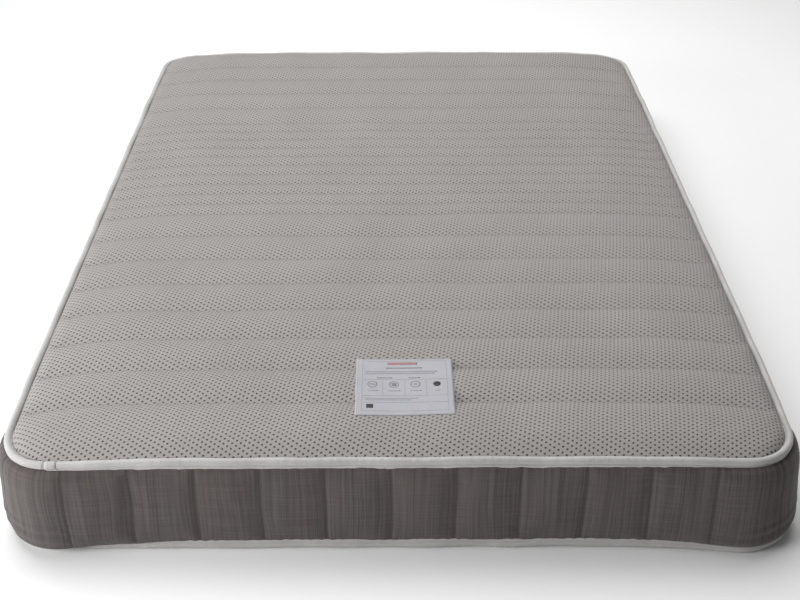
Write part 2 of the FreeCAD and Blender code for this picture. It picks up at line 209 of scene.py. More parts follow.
def finer(grid, axis):
    """The grid with one more point midway between each two along an axis, on a smooth curve."""
    values = np.moveaxis(grid, axis, 0)
    longer = np.concatenate([2 * values[:1] - values[1:2], values, 2 * values[-1:] - values[-2:-1]])
    middles = (9 * (values[:-1] + values[1:]) - longer[:-3] - longer[3:]) / 16
    made = np.empty((2 * len(values) - 1,) + values.shape[1:])
    made[::2] = values
    made[1::2] = middles
    return np.moveaxis(made, 0, axis)


def new_piece(name, points, faces, material, **attributes):
    """A smooth mesh object, with one value for each point in every named attribute."""
    mesh = bpy.data.meshes.new(name)
    mesh.from_pydata(np.asarray(points, float).reshape(-1, 3).tolist(), [], faces)
    mesh.polygons.foreach_set("use_smooth", [True] * len(mesh.polygons))
    for key, values in attributes.items():
        layer = mesh.attributes.new(key, "FLOAT", "POINT")
        layer.data.foreach_set("value", np.asarray(values, np.float32).ravel())
    if material:
        mesh.materials.append(material)
    mesh.update()
    piece = bpy.data.objects.new(name, mesh)
    bpy.context.scene.collection.objects.link(piece)
    return piece


def grid_faces(rows, columns, rows_meet=False, columns_meet=False):
    """Quads over points kept row by row, facing where rows climb and columns run to the right."""
    faces = []
    for i in range(rows if rows_meet else rows - 1):
        for j in range(columns if columns_meet else columns - 1):
            above = (i + 1) % rows
            right = (j + 1) % columns
            near, far = i * columns, above * columns
            faces.append((near + j, near + right, far + right, far + j))
    return faces


def rim_of(rows, columns):
    """Point numbers round a grid's edge, anticlockwise."""
    first = list(range(columns))
    right = [i * columns + columns - 1 for i in range(1, rows)]
    last = [(rows - 1) * columns + j for j in range(columns - 2, -1, -1)]
    left = [i * columns for i in range(rows - 2, 0, -1)]
    return first + right + last + left


def closed_sheet(grid, rings):
    """Points and faces of a grid whose edge goes on through rings of points to a flat face below."""
    rows, columns = grid.shape[:2]
    faces = grid_faces(rows, columns)
    above = rim_of(rows, columns)
    points = [grid.reshape(-1, 3)]
    total = rows * columns
    for ring in rings:
        below = list(range(total, total + len(above)))
        for k in range(len(above)):
            after = (k + 1) % len(above)
            faces.append((above[after], above[k], below[k], below[after]))
        points.append(ring)
        total += len(below)
        above = below
    faces.append(tuple(reversed(above)))
    return np.concatenate(points), faces


def thin_slab(grid, thickness):
    """Points and faces of a grid and its copy a little below, closed round the edge."""
    rows, columns = grid.shape[:2]
    count = rows * columns
    faces = grid_faces(rows, columns)
    faces += [tuple(reversed([k + count for k in face])) for face in faces]
    rim = rim_of(rows, columns)
    for k, after in zip(rim, rim[1:] + rim[:1]):
        faces.append((after, k, k + count, after + count))
    upper = grid.reshape(-1, 3)
    return np.concatenate([upper, upper - UP * thickness]), faces


def swell(grid, pinned, growth, pressure, frames, cap, calm=0):
    """The grid as cloth that has grown a little and is pushed out between its pinned points.

    calm is how many times the movement is evened out along each row, which takes out short creases.
    """
    rows, columns = grid.shape[:2]
    cloth_piece = new_piece("cloth", grid, grid_faces(rows, columns), None)
    group = cloth_piece.vertex_groups.new(name="pinned")
    group.add(np.flatnonzero(pinned).tolist(), 1.0, "REPLACE")
    cloth = cloth_piece.modifiers.new("swell", "CLOTH")
    settings = cloth.settings
    settings.quality = 6
    settings.mass = 0.15
    settings.vertex_group_mass = "pinned"
    settings.shrink_min = -growth
    settings.tension_stiffness = 15
    settings.compression_stiffness = 15
    settings.shear_stiffness = 3
    settings.bending_stiffness = 0.4
    settings.air_damping = 2
    settings.use_pressure = True
    settings.uniform_pressure_force = pressure
    settings.effector_weights.gravity = 0
    cloth.collision_settings.use_collision = False
    cloth.point_cache.frame_start = 1
    cloth.point_cache.frame_end = frames
    for number in range(1, frames + 1):
        bpy.context.scene.frame_set(number)
    swollen = cloth_piece.evaluated_get(bpy.context.evaluated_depsgraph_get()).to_mesh()
    found = np.zeros(rows * columns * 3)
    swollen.vertices.foreach_get("co", found)
    bpy.context.scene.frame_set(1)
    bpy.data.objects.remove(cloth_piece)
    moved = found.reshape(grid.shape) - grid
    for _ in range(calm):
        moved[:, 1:-1] = (moved[:, :-2] + 2 * moved[:, 1:-1] + moved[:, 2:]) / 4
    size = np.linalg.norm(moved, axis=-1, keepdims=True)
    return grid + moved * np.minimum(1, cap / np.maximum(size, 1e-9))


# ---------------- materials

class Nodes:
    """A new material, and short ways to add nodes to it."""

    def __init__(self, name, roughness, sheen=0.0, metallic=0.0, specular=0.3):
        self.material = bpy.data.materials.new(name)
        self.material.use_nodes = True
        self.tree = self.material.node_tree
        self.shader = self.tree.nodes["Principled BSDF"]
        self.shader.inputs["Roughness"].default_value = roughness
        self.shader.inputs["Metallic"].default_value = metallic
        self.shader.inputs["Sheen Weight"].default_value = sheen
        self.shader.inputs["Specular IOR Level"].default_value = specular
        self.place = self.add("ShaderNodeTexCoord").outputs["Object"]

    def add(self, kind):
        return self.tree.nodes.new(kind)

    def put(self, socket, value):
        """Links value into socket if it is a socket itself, and sets it otherwise."""
        if isinstance(value, bpy.types.NodeSocket):
            self.tree.links.new(value, socket)
        else:
            socket.default_value = value

    def math(self, operation, first, second=0.0, third=0.0):
        node = self.add("ShaderNodeMath")
        node.operation = operation
        for socket, value in zip(node.inputs, (first, second, third)):
            self.put(socket, value)
        return node.outputs[0]

    def split(self, vector):
        node = self.add("ShaderNodeSeparateXYZ")
        self.put(node.inputs[0], vector)
        return node.outputs[:3]

    def join(self, x, y, z=0.0):
        node = self.add("ShaderNodeCombineXYZ")
        for socket, value in zip(node.inputs, (x, y, z)):
            self.put(socket, value)
        return node.outputs[0]

    def attribute(self, name):
        node = self.add("ShaderNodeAttribute")
        node.attribute_name = name
        return node.outputs["Fac"]

    def noise(self, vector, scale, detail=2.0, roughness=0.5):
        node = self.add("ShaderNodeTexNoise")
        self.put(node.inputs["Vector"], vector)
        node.inputs["Scale"].default_value = scale
        node.inputs["Detail"].default_value = detail
        node.inputs["Roughness"].default_value = roughness
        return node.outputs["Fac"]

    def cells(self, vector, scale):
        node = self.add("ShaderNodeTexVoronoi")
        self.put(node.inputs["Vector"], vector)
        node.inputs["Scale"].default_value = scale
        return node.outputs["Distance"]

    def band(self, value, low, high, start=0.0, end=1.0):
        """value from low to high, as a smooth change from start to end."""
        node = self.add("ShaderNodeMapRange")
        node.interpolation_type = "SMOOTHSTEP"
        for socket, given in zip(node.inputs, (value, low, high, start, end)):
            self.put(socket, given)
        return node.outputs["Result"]

    def mix(self, share, first, second):
        node = self.add("ShaderNodeMix")
        node.data_type = "RGBA"
        self.put(node.inputs["Factor"], share)
        for key, colour in (("A", first), ("B", second)):
            given = isinstance(colour, bpy.types.NodeSocket)
            self.put(node.inputs[key], colour if given else (*colour, 1))
        return node.outputs["Result"]

    def product(self, first, second):
        return self.math("MULTIPLY", first, second)

    def wave(self, value, length):
        """A sine of value that repeats after each length."""
        return self.math("SINE", self.product(value, 2 * math.pi / length))

    def finish(self, colour, height=None, depth=0.001):
        """Gives the shader its colour, and its bump where there is one."""
        self.put(self.shader.inputs["Base Color"], colour)
        if height is not None:
            bump = self.add("ShaderNodeBump")
            bump.inputs["Strength"].default_value = 1.0
            bump.inputs["Distance"].default_value = depth
            self.put(bump.inputs["Height"], height)
            self.put(self.shader.inputs["Normal"], bump.outputs["Normal"])
        return self.material


HOLE_PITCH = 0.0145  # along a row of holes in the knit
ROW_PITCH = 0.0045
HOLE_RADIUS = 0.0018
HOLE_STRETCH = 1.15  # how much wider a hole is across the mattress than along it
COLUMN_LEAN = 0.17  # sideways for each metre along the mattress
ROW_TILT = 0.05


def knit_material():
    """Air-mesh knit: staggered rows of small holes in a fine ribbed ground."""
    n = Nodes("knit", roughness=0.92, sheen=0.15)
    x, y, _ = n.split(n.place)
    sway = n.product(n.math("SUBTRACT", n.noise(n.place, 9, 1), 0.5), 0.006)
    across = n.math("ADD", n.math("MULTIPLY_ADD", y, -COLUMN_LEAN, x), sway)
    along = n.math("ADD", n.math("MULTIPLY_ADD", x, -ROW_TILT, y), sway)
    row = n.math("DIVIDE", along, ROW_PITCH)
    odd = n.product(n.math("FLOORED_MODULO", n.math("FLOOR", row), 2.0), 0.5)
    column = n.math("ADD", n.math("DIVIDE", across, HOLE_PITCH), odd)
    side = n.product(n.math("SUBTRACT", n.math("FRACT", column), 0.5), HOLE_PITCH / HOLE_RADIUS)
    ahead = n.math("SUBTRACT", n.math("FRACT", row), 0.5)
    ahead = n.product(ahead, ROW_PITCH / HOLE_RADIUS * HOLE_STRETCH)
    radius = n.math("SQRT", n.math("ADD", n.product(side, side), n.product(ahead, ahead)))
    hole = n.band(radius, 0.75, 1.2, 1.0, 0.0)
    yarn = n.product(n.wave(across, 0.0021), n.wave(along, 0.0015))
    fuzz = n.noise(n.place, 900, 2)
    patches = n.noise(n.place, 5, 3)
    ground = n.mix(patches, (0.290, 0.275, 0.264), (0.340, 0.324, 0.312))
    ground = n.mix(n.product(fuzz, 0.35), ground, (0.30, 0.28, 0.27))
    # Painted shade: the knit is darkened along each quilting line, for the shade in the line's valley, and
    # partly for the knit drawn tight there
    ground = n.mix(n.product(n.attribute("seam"), 0.35), ground, (0.20, 0.185, 0.178))
    # Painted shade: each hole is coloured near-black for the shade inside it, though pale wadding lies under
    # the knit
    colour = n.mix(n.product(hole, 0.98), ground, (0.050, 0.045, 0.043))
    relief = n.math("MULTIPLY_ADD", yarn, 0.10, n.product(fuzz, 0.25))
    return n.finish(colour, n.math("SUBTRACT", relief, hole), depth=0.0007)


def border_material():
    """Dark slub weave: uneven upright yarns over fine level ones."""
    n = Nodes("border_cloth", roughness=0.85, sheen=0.12)
    _, _, z = n.split(n.place)
    along = n.attribute("along")
    yarns = n.noise(n.join(along, n.product(z, 0.012)), 330, 3, 0.6)
    slubs = n.noise(n.join(along, n.product(z, 0.03)), 120, 2)
    shades = n.noise(n.join(along, n.product(z, 0.3)), 12, 2)
    weft = n.noise(n.join(n.product(along, 0.02), z), 420, 2)
    tone = n.math("ADD", n.product(yarns, 0.7), n.product(slubs, 0.3))
    tone = n.math("ADD", tone, n.product(n.math("SUBTRACT", weft, 0.5), 0.3))
    colour = n.mix(n.band(tone, 0.34, 0.66), (0.060, 0.052, 0.050), (0.108, 0.095, 0.092))
    colour = n.mix(n.product(n.band(shades, 0.35, 0.7), 0.25), colour, (0.100, 0.078, 0.074))
    # Painted shade, partly the seam's own dark line: the cloth is darkened in a narrow band along each
    # upright seam, for the shade in the seam's dip
    colour = n.mix(n.product(n.attribute("seam"), 0.6), colour, (0.025, 0.021, 0.021))
    height = n.math("ADD", n.product(yarns, 0.7), n.product(weft, 0.5))
    return n.finish(colour, height, depth=0.0005)


def tape_material():
    """Off-white knitted tape with fine ribs across it."""
    n = Nodes("tape_cloth", roughness=0.7, sheen=0.2)
    along = n.attribute("along")
    _, _, z = n.split(n.place)
    ribs = n.noise(n.join(along, n.product(z, 0.12)), 900, 1)
    dirt = n.noise(n.place, 14, 3)
    fuzz = n.noise(n.place, 1400, 2)
    colour = n.mix(n.band(dirt, 0.3, 0.75), (0.425, 0.418, 0.409), (0.49, 0.485, 0.478))
    colour = n.mix(n.product(ribs, 0.22), colour, (0.36, 0.35, 0.345))
    creases = n.noise(n.join(along, n.product(z, 0.6)), 85, 2)
    relief = n.math("MULTIPLY_ADD", ribs, 0.35, n.product(fuzz, 0.2))
    return n.finish(colour, n.math("ADD", n.product(creases, 2.2), relief), depth=0.0006)


def label_material():
    """Smooth white printed cloth with a faint weave."""
    n = Nodes("label_cloth", roughness=0.6, specular=0.35)
    x, y, _ = n.split(n.place)
    weave = n.product(n.math("SINE", n.product(x, 5200.0)), n.math("SINE", n.product(y, 5200.0)))
    shade = n.noise(n.place, 30, 3)
    colour = n.mix(shade, (0.37, 0.37, 0.395), (0.43, 0.43, 0.465))
    return n.finish(colour, n.math("MULTIPLY_ADD", weave, 0.2, shade), depth=0.0004)


def ink_material(name, colour):
    """Printing ink, worn a little unevenly."""
    n = Nodes(name, roughness=0.65)
    wear = n.noise(n.place, 700, 3)
    paler = tuple(0.7 * c + 0.3 * 0.45 for c in colour)
    return n.finish(n.mix(n.band(wear, 0.45, 0.8), colour, paler), wear, depth=0.0001)


def thread_material(name, colour):
    """Twisted sewing thread."""
    n = Nodes(name, roughness=0.6, sheen=0.1)
    x, y, z = n.split(n.place)
    twist = n.math("SINE", n.product(n.math("ADD", n.math("ADD", x, y), z), 9000.0))
    fuzz = n.noise(n.place, 1500, 2)
    darker = tuple(0.65 * c for c in colour)
    return n.finish(n.mix(fuzz, colour, darker), twist, depth=0.0001)


def base_material():
    """Plain woven underside cloth with small grip dots."""
    n = Nodes("base_cloth", roughness=0.9, sheen=0.1)
    x, y, _ = n.split(n.place)
    weave = n.product(n.math("SINE", n.product(x, 3900.0)), n.math("SINE", n.product(y, 3900.0)))
    dots = n.band(n.cells(n.join(x, y), 95), 0.16, 0.24, 1.0, 0.0)
    shade = n.noise(n.place, 8, 3)
    colour = n.mix(shade, (0.36, 0.355, 0.35), (0.44, 0.435, 0.43))
    colour = n.mix(n.product(dots, 0.5), colour, (0.25, 0.245, 0.24))
    relief = n.math("MULTIPLY_ADD", weave, 0.3, n.product(dots, 1.5))
    return n.finish(colour, relief, depth=0.0005)


def fibre_material(name, light, dark, scale, stretch=1.0, depth=0.0008):
    """Matted fibres, for felt, wadding and thin non-woven sheets."""
    n = Nodes(name, roughness=0.95, sheen=0.1)
    x, y, z = n.split(n.place)
    fibres = n.noise(n.join(x, n.product(y, stretch), z), scale, 4, 0.7)
    return n.finish(n.mix(n.band(fibres, 0.35, 0.65), dark, light), fibres, depth)


def foam_material():
    """Cut open-cell foam."""
    n = Nodes("foam", roughness=0.95)
    pores = n.cells(n.place, 420)
    shade = n.noise(n.place, 10, 2)
    colour = n.mix(shade, (0.70, 0.64, 0.44), (0.78, 0.73, 0.54))
    # Painted shade: the pores are darkened for the shade in their hollows
    colour = n.mix(n.band(pores, 0.0, 0.35, 0.6, 0.0), colour, (0.42, 0.37, 0.22))
    return n.finish(colour, pores, depth=0.0006)


def steel_material():
    """Drawn spring wire, faintly marked along its length."""
    n = Nodes("spring_steel", roughness=0.35, metallic=1.0)
    marks = n.noise(n.place, 260, 2)
    return n.finish(n.mix(marks, (0.36, 0.36, 0.37), (0.52, 0.52, 0.53)), marks, depth=0.0001)


def floor_material():
    """Pale studio floor with a hardly visible grain."""
    n = Nodes("studio_floor", roughness=0.9, specular=0.1)
    grain = n.noise(n.place, 3, 2)
    return n.finish(n.mix(grain, (0.93, 0.93, 0.93), (0.95, 0.95, 0.95)))


# ---------------- the quilted top

PANEL_X = HALF_WIDTH - PANEL_INSET
PANEL_Y = HALF_LENGTH - PANEL_INSET
PANEL_RADIUS = CORNER_RADIUS - PANEL_INSET


def packed_to_ends(count, angle):
    """Numbers from -1 to 1 that lie closer together towards both ends."""
    return np.sin(np.linspace(-1, 1, count) * angle) / math.sin(angle)


def cover_rows():
    """The y of each row of the cover's grid, and whether the row is a quilting line."""
    corner = [CORE_Y + PANEL_RADIUS * math.sin(math.radians(a)) for a in range(90, 0, -9)]
    margin_end = HALF_LENGTH - QUILT_MARGIN
    margin = [CORE_Y + (margin_end - CORE_Y) * k / 5 for k in range(5)]
    rows = [(-y, False) for y in corner + margin]
    y = -margin_end
    for width in CHANNELS:
        parts = round(width * 80) if width > 0.06 else 6
        for k in range(parts):
            rows.append((y + width * k / parts, k == 0))
        y += width
    rows.append((y, True))
    rows += [(row, False) for row in reversed(corner + margin)]
    return np.array([row for row, _ in rows]), np.array([line for _, line in rows])


def half_width_at(y, radius=PANEL_RADIUS):
    """Half the width at y of a panel whose corners have this radius. The cover's, unless told otherwise."""
    beyond = np.clip(np.abs(y) - CORE_Y, 0, radius)
    return CORE_X + np.sqrt(np.maximum(radius ** 2 - beyond ** 2, 0))


def rounded_inset(x, y, radius=PANEL_RADIUS):
    """Distance in from that panel's edge."""
    over_x = np.abs(x) - CORE_X
    over_y = np.abs(y) - CORE_Y
    outside = np.hypot(np.maximum(over_x, 0), np.maximum(over_y, 0))
    return radius - outside - np.minimum(np.maximum(over_x, over_y), 0)


def rise(distance, width):
    """0 at distance 0, and 1 from width on, level there."""
    left = 1 - np.clip(distance / width, 0, 1)
    return 1 - left * left


def crown(x, y):
    """Height of the cover above its seam where nothing is sewn into it."""
    roll = np.sqrt(rise(rounded_inset(x, y), EDGE_ROLL)) * EDGE_ROLL_HEIGHT
    body = rise(PANEL_X - np.abs(x), SHOULDER) * rise(PANEL_Y - np.abs(y), SHOULDER)
    return roll + body * (CROWN - EDGE_ROLL_HEIGHT) - CORNER_DROP * cornerness(x, y)


def nearest_line(y):
    """Distance from each y to the nearest quilting line."""
    rows, lines = cover_rows()
    return np.min(np.abs(np.asarray(y)[..., None] - rows[lines]), axis=-1)


def cover_grid():
    """The cover's surface, row by row from the foot end, with its quilting lines drawn down."""
    y, line = cover_rows()
    spread = packed_to_ends(121, 1.25)
    x = half_width_at(y)[:, None] * spread
    y = np.repeat(y[:, None], x.shape[1], axis=1)
    inset = rounded_inset(x, y)
    bend = 0.0025 * ripples(x, y, 0.5, seed=3) * smooth_step(inset, 0.0, 0.1)
    bow = LINE_BOW * (1 - rise(PANEL_X - np.abs(x), SHOULDER)) * smooth_step(inset, 0.0, 0.02)
    bend = bend - bow * smooth_step(PANEL_Y - np.abs(y), 0.0, 0.1)
    dip = LINE_DEPTH * (1 - np.sqrt(rise(nearest_line(y), LINE_REACH))) * smooth_step(inset, 0.0, 0.03)
    uneven = ripples(x, y, 0.16, seed=4) * 0.0007 + ripples(x, y, 0.035, seed=5) * 0.0003
    z = TOP_SEAM + crown(x, y) - dip + uneven * smooth_step(inset, 0.0, 0.03)
    return np.stack([x, y + bend, z], axis=-1), line, y, inset


def quilted_top():
    """The cover with its wadding and backing, swollen between its quilting lines, and those lines."""
    grid, line, row_y, inset = cover_grid()
    pinned = line[:, None] | (inset < 0.002)
    grid = swell(grid, pinned, growth=0.012, pressure=60, frames=20, cap=0.008, calm=30)
    fine = finer(finer(grid, 0), 1)
    # near, and the seam attribute made from it, carry painted shade along the quilting lines: the knit
    # material darkens where they are high
    near = np.exp(-(nearest_line(finer(finer(row_y, 0), 1)) / 0.004) ** 2)
    rim = fine.reshape(-1, 3)[rim_of(*fine.shape[:2])]
    rings = [rim * (0.9995, 0.9996, 1) - UP * COVER_THICKNESS]
    for share in (0.02, 0.08, 0.16, 0.26):
        ring = rim * (1 - share * 0.95, 1 - share * 0.68, 0)
        ring[:, 2] = TOP_SEAM - COVER_THICKNESS + crown(ring[:, 0], ring[:, 1])
        rings.append(ring)
    points, faces = closed_sheet(fine, rings)
    seam = np.concatenate([near.ravel(), np.zeros(len(points) - near.size)])
    top = new_piece("quilted_top", points, faces, materials["knit"], seam=seam)
    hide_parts("top_panel", "top_wadding", "top_backing")
    rows = [fine[2 * i, 2:-2] for i in np.flatnonzero(line)]
    return top, rows


def foam_block():
    """The foam that carries the crown, cut to follow the cover's underside."""
    y, _ = cover_rows()
    x = half_width_at(y)[:, None] * np.linspace(-1, 1, 61)
    y = np.repeat(y[:, None], x.shape[1], axis=1)
    z = TOP_SEAM - COVER_THICKNESS - 0.0006 + crown(x, y)
    grid = np.stack([x * 0.999, y * 0.9993, z], axis=-1)
    rim = grid.reshape(-1, 3)[rim_of(*grid.shape[:2])]
    points, faces = closed_sheet(grid, [rim * (1, 1, 0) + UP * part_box("comfort_foam")[0].z])
    foam = new_piece("comfort_foam_block", points, faces, materials["foam"])
    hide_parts("comfort_foam")
    return foam


# ---------------- stitches

def sampled(values, gone, wanted):
    """The values, known at the distances gone, at the wanted distances."""
    return np.stack([np.interp(wanted, gone, values[:, k]) for k in range(3)], axis=1)


def stitches(name, lines, facings, sizes, material, seed):
    """Short raised stitches set end to end along lines. facings gives each line's outward direction."""
    pitch, length, thickness = sizes
    random = np.random.default_rng(seed)
    points, faces = [], []
    for line, facing in zip(lines, facings):
        steps = np.linalg.norm(np.diff(line, axis=0), axis=1)
        gone = np.concatenate([[0], np.cumsum(steps)])
        middles = np.arange(pitch, gone[-1] - pitch / 2, pitch)
        facing = np.broadcast_to(facing, line.shape)
        place = sampled(line, gone, middles)
        ahead = sampled(line, gone, middles + pitch / 2) - place
        out = sampled(facing, gone, middles)
        ahead /= np.linalg.norm(ahead, axis=1, keepdims=True)
        side = np.cross(ahead, out)
        side /= np.linalg.norm(side, axis=1, keepdims=True)
        ahead = ahead + side * random.normal(0, 0.05, (len(place), 1))
        for at, forward, across, upward in zip(place, ahead, side, out):
            first = len(points)
            points.append(at - forward * length / 2)
            for share in (-0.3, 0.3):
                for turn in (0, 90, 180, 270):
                    angle = math.radians(turn)
                    around = across * math.cos(angle) + upward * (math.sin(angle) * 0.8)
                    points.append(at + forward * length * share + around * thickness / 2)
            points.append(at + forward * length / 2)
            for k in range(4):
                after = (k + 1) % 4
                faces.append((first, first + 1 + k, first + 1 + after))
                faces.append((first + 1 + k, first + 5 + k, first + 5 + after, first + 1 + after))
                faces.append((first + 9, first + 5 + after, first + 5 + k))
    return new_piece(name, points, faces, material)


# ---------------- the border

BORDER_LOW = BOTTOM_SEAM + 0.004
BORDER_TOP = TOP_SEAM - 0.0055
BORDER_ROWS = 29
BORDER_COLUMNS = SEAM_COUNT * 12 + 1
HELD_AT_TOP = 0.006  # width of the border that the top tape holds flat
HELD_AT_BOTTOM = 0.004
ON_SEAM = 0.0005  # a column this near to a seam is the seam's own


def nearest_seam(distance):
    """Distance round the border to the nearest upright seam."""
    return np.abs(np.mod(distance - SEAM_SHIFT + SEAM_PITCH / 2, SEAM_PITCH) - SEAM_PITCH / 2)


def border_grid():
    """The border's outer face in rows from its bottom edge, with each point's distance round and height."""
    start = SEAM_SHIFT + SEAM_PITCH * (SEAM_COUNT // 2)
    along = np.linspace(start, start + ROUND, BORDER_COLUMNS)
    height = np.linspace(BORDER_LOW, BORDER_TOP, BORDER_ROWS)
    along, height = np.meshgrid(along, height)
    share = (height - BORDER_LOW) / (BORDER_TOP - BORDER_LOW)
    flat = at_border(along, 0.0, height)
    corner = cornerness(flat[..., 0], flat[..., 1])
    in_ends = smooth_step(np.minimum(along - start, start + ROUND - along), 0.0, 0.05)
    drift = ripples(along * 1.6, height, 0.14, seed=11) * 0.0018 * in_ends
    full = np.sqrt(np.clip(1 - (2 * share - 1) ** 4, 0, 1))
    bulge = SIDE_BULGE + CORNER_BULGE * np.clip(1.25 * corner, 0, 1)
    seam_dip = np.exp(-(nearest_seam(along) / 0.004) ** 2)
    low_folds = smooth_step(share, 0.0, 0.12) * (1 - smooth_step(share, 0.22, 0.42))
    patchy = np.clip(ripples(along, height * 0, 0.35, seed=12) + 0.35, 0, 1)
    lean = 0.06 * (along - SEAM_SHIFT)
    folds = np.sin((height - lean) * 2 * math.pi / 0.021 + 3 * ripples(along, height, 0.3, seed=13))
    out = full * (bulge - 0.0014 * seam_dip) + folds * low_folds * patchy * 0.0012 * (1 - seam_dip)
    out = out + ripples(along, height, 0.07, seed=14) * 0.0005 * full
    in_tucked = tucked(flat[..., 0], flat[..., 1])
    out = out + np.where(in_tucked, TUCKED_SPREAD, CORNER_SPREAD) * corner * (1 - share) ** 2
    sag = np.where(in_tucked, TUCKED_SAG, CORNER_SAG)
    sag = sag * (np.exp(-((share - 0.05) / 0.09) ** 2) - 0.3 * (1 - smooth_step(share, 0, 0.04)))
    settled = height - corner * (CORNER_DROP * share ** 2 + sag)
    points = at_border(along + drift, out, settled)
    return points, along, height


def border():
    """The padded border, swollen between its seams, and the lines of its seams."""
    grid, along, height = border_grid()
    seam = nearest_seam(along) < ON_SEAM
    held = (height > BORDER_TOP - HELD_AT_TOP) | (height < BORDER_LOW + HELD_AT_BOTTOM)
    grid = swell(grid, seam | held, growth=0.003, pressure=14, frames=20, cap=0.004)
    fine = finer(finer(grid, 0), 1)
    fine_along = finer(finer(along[..., None], 0), 1)[..., 0]
    fine_height = finer(finer(height[..., None], 0), 1)[..., 0]
    count = fine.shape[1]
    behind = [at_border(fine_along[0], -BORDER_THICKNESS, fine[level, :, 2]) for level in (-1, 0)]
    points = np.concatenate([fine, np.array(behind)])
    rows = len(points)
    faces = grid_faces(rows, count, rows_meet=True)
    for column in (0, count - 1):
        end = [i * count + column for i in range(rows)]
        faces.append(tuple(end if column else reversed(end)))
    every_along = np.concatenate([fine_along, fine_along[:1], fine_along[:1]])
    # near, passed on as the seam attribute, carries painted shade along each upright seam: the border
    # material darkens where it is high
    near = np.exp(-(nearest_seam(fine_along) / 0.0019) ** 2)
    near = np.concatenate([near, near[:2] * 0])
    piece = new_piece("border", points, faces, materials["border_cloth"], along=every_along, seam=near)
    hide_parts("border_fabric", "border_wadding")
    columns = np.flatnonzero(nearest_seam(fine_along[0]) < ON_SEAM)
    level = fine_height[:, 0]
    showing = (level < BORDER_TOP - HELD_AT_TOP) & (level > BORDER_LOW + HELD_AT_BOTTOM)
    return piece, [fine[showing, column] for column in columns[:-1]]


# ---------------- the tapes

STATIONS = 1260
FOLD = 13
FACE = 15  # points of the section on the tape's outer face, without its hem


def tape_section(bead):
    """A top tape's outline across itself: outward from the border's face and up from its seam.

    The first FOLD points are the part folded over the seam, and the last of them is its sewn groove.
    """
    k = bead / 0.0078
    outline = [
        (-0.0126, -0.0030), (-0.0130, 0.0005), (-0.0122, 0.0038), (-0.0101, 0.0063), (-0.0073, 0.0077),
        (-0.0043, 0.0080), (-0.0013, 0.0072), (0.0010, 0.0053), (0.0025, 0.0027), (0.0031, -0.0004),
        (0.0029, -0.0034), (0.0021, -0.0056), (0.0003, -0.0068), (0.0015, -0.0076), (0.0024, -0.0086),
    ]
    outline = [(-BEAD_INSET + (out + 0.005) * k, up * k) for out, up in outline]
    hem_end = outline[-1][1] - HEM
    outline += [(0.0021, hem_end + 0.0016), (0.0018, hem_end), (0.0004, hem_end - 0.0002)]
    outline += [(0.0002, -0.0084 * k), (-0.0030, -0.0067 * k), (-0.0090 * k, -0.0055 * k)]
    return np.array(outline)


def overlap_patch(grid, along, flip):
    """Points and faces of a second layer over the first few stations of a tape."""
    shell = grid[:, :FACE]
    centre = shell.mean(axis=1, keepdims=True)
    over = shell + (shell - centre) * 0.03
    under = shell[:, ::-1] + (centre - shell[:, ::-1]) * 0.05
    patch = np.concatenate([over, under], axis=1)
    rows, columns = patch.shape[:2]
    faces = grid_faces(rows, columns, columns_meet=True)
    faces.append(tuple(range(columns))[::-1])
    faces.append(tuple((rows - 1) * columns + k for k in range(columns)))
    if flip:
        faces = [face[::-1] for face in faces]
    return patch, faces, np.repeat(along[:rows, None] + 0.5, columns, axis=1)


def bound_edge(name, seam_height, upright, bead, join_at, seed):
    """One tape all the way round, the overlap where its ends meet, and its sewing line with its facing."""
    section = tape_section(bead)
    distance = join_at + np.arange(STATIONS) * ROUND / STATIONS
    outer = np.repeat(section[None], STATIONS, axis=0)
    fullness = 1 + 0.05 * wander(distance, 0.12, seed) + 0.03 * wander(distance, 0.03, seed + 1)
    outer = outer * np.stack([np.ones(STATIONS), fullness], axis=1)[:, None]
    is_hem = smooth_step(-section[:, 1], 0.8 * bead, 1.5 * bead)
    lift = 0.0010 * wander(distance, 0.25, seed + 2)[:, None]
    lift = lift + 0.0007 * wander(distance, 0.07, seed + 3)[:, None] * is_hem
    push = 0.0006 * wander(distance, 0.18, seed + 4)[:, None] * (1 - is_hem)
    puckers = 0.0002 * wander(distance, 0.011, seed + 5)[:, None] * (1 - is_hem)
    out = outer[..., 0] + push + puckers
    height = seam_height + upright * (outer[..., 1] + lift)
    flat = at_border(distance, 0.0, distance * 0)
    corner = cornerness(flat[:, 0], flat[:, 1])[:, None]
    if upright > 0:
        height = height - CORNER_DROP * corner
    else:
        in_tucked = tucked(flat[:, :1], flat[:, 1:2])
        out = out + corner * np.where(in_tucked, -TAPE_BEYOND, CORNER_SPREAD + TAPE_BEYOND)
        height = height - BOTTOM_SINK
    grid = at_border(distance[:, None], out, height)
    flip = upright < 0
    faces = grid_faces(STATIONS, len(section), rows_meet=True, columns_meet=True)
    if flip:
        faces = [face[::-1] for face in faces]
    along = np.repeat(distance[:, None], len(section), axis=1)
    tape = new_piece(name, grid, faces, materials["tape_cloth"], along=along)
    line = np.concatenate([grid[:, FOLD - 1], grid[:1, FOLD - 1]])
    _, facing = round_the_border(np.append(distance, distance[0]))
    facing = np.concatenate([facing, np.zeros((len(facing), 1))], axis=1)
    patch, patch_faces, patch_along = overlap_patch(grid[:5], distance, flip)
    join = new_piece(name + "_join", patch, patch_faces, materials["tape_cloth"], along=patch_along)
    return tape, join, line, facing


# ---------------- the label

def surface_of(piece):
    """A function that gives the height of a piece's upper face at a place."""
    mesh = piece.data
    tree = BVHTree.FromPolygons([v.co for v in mesh.vertices], [p.vertices for p in mesh.polygons])

    def height(x, y):
        hit = tree.ray_cast(Vector((x, y, 1.0)), Vector((0, 0, -1)))
        return hit[0].z

    return height


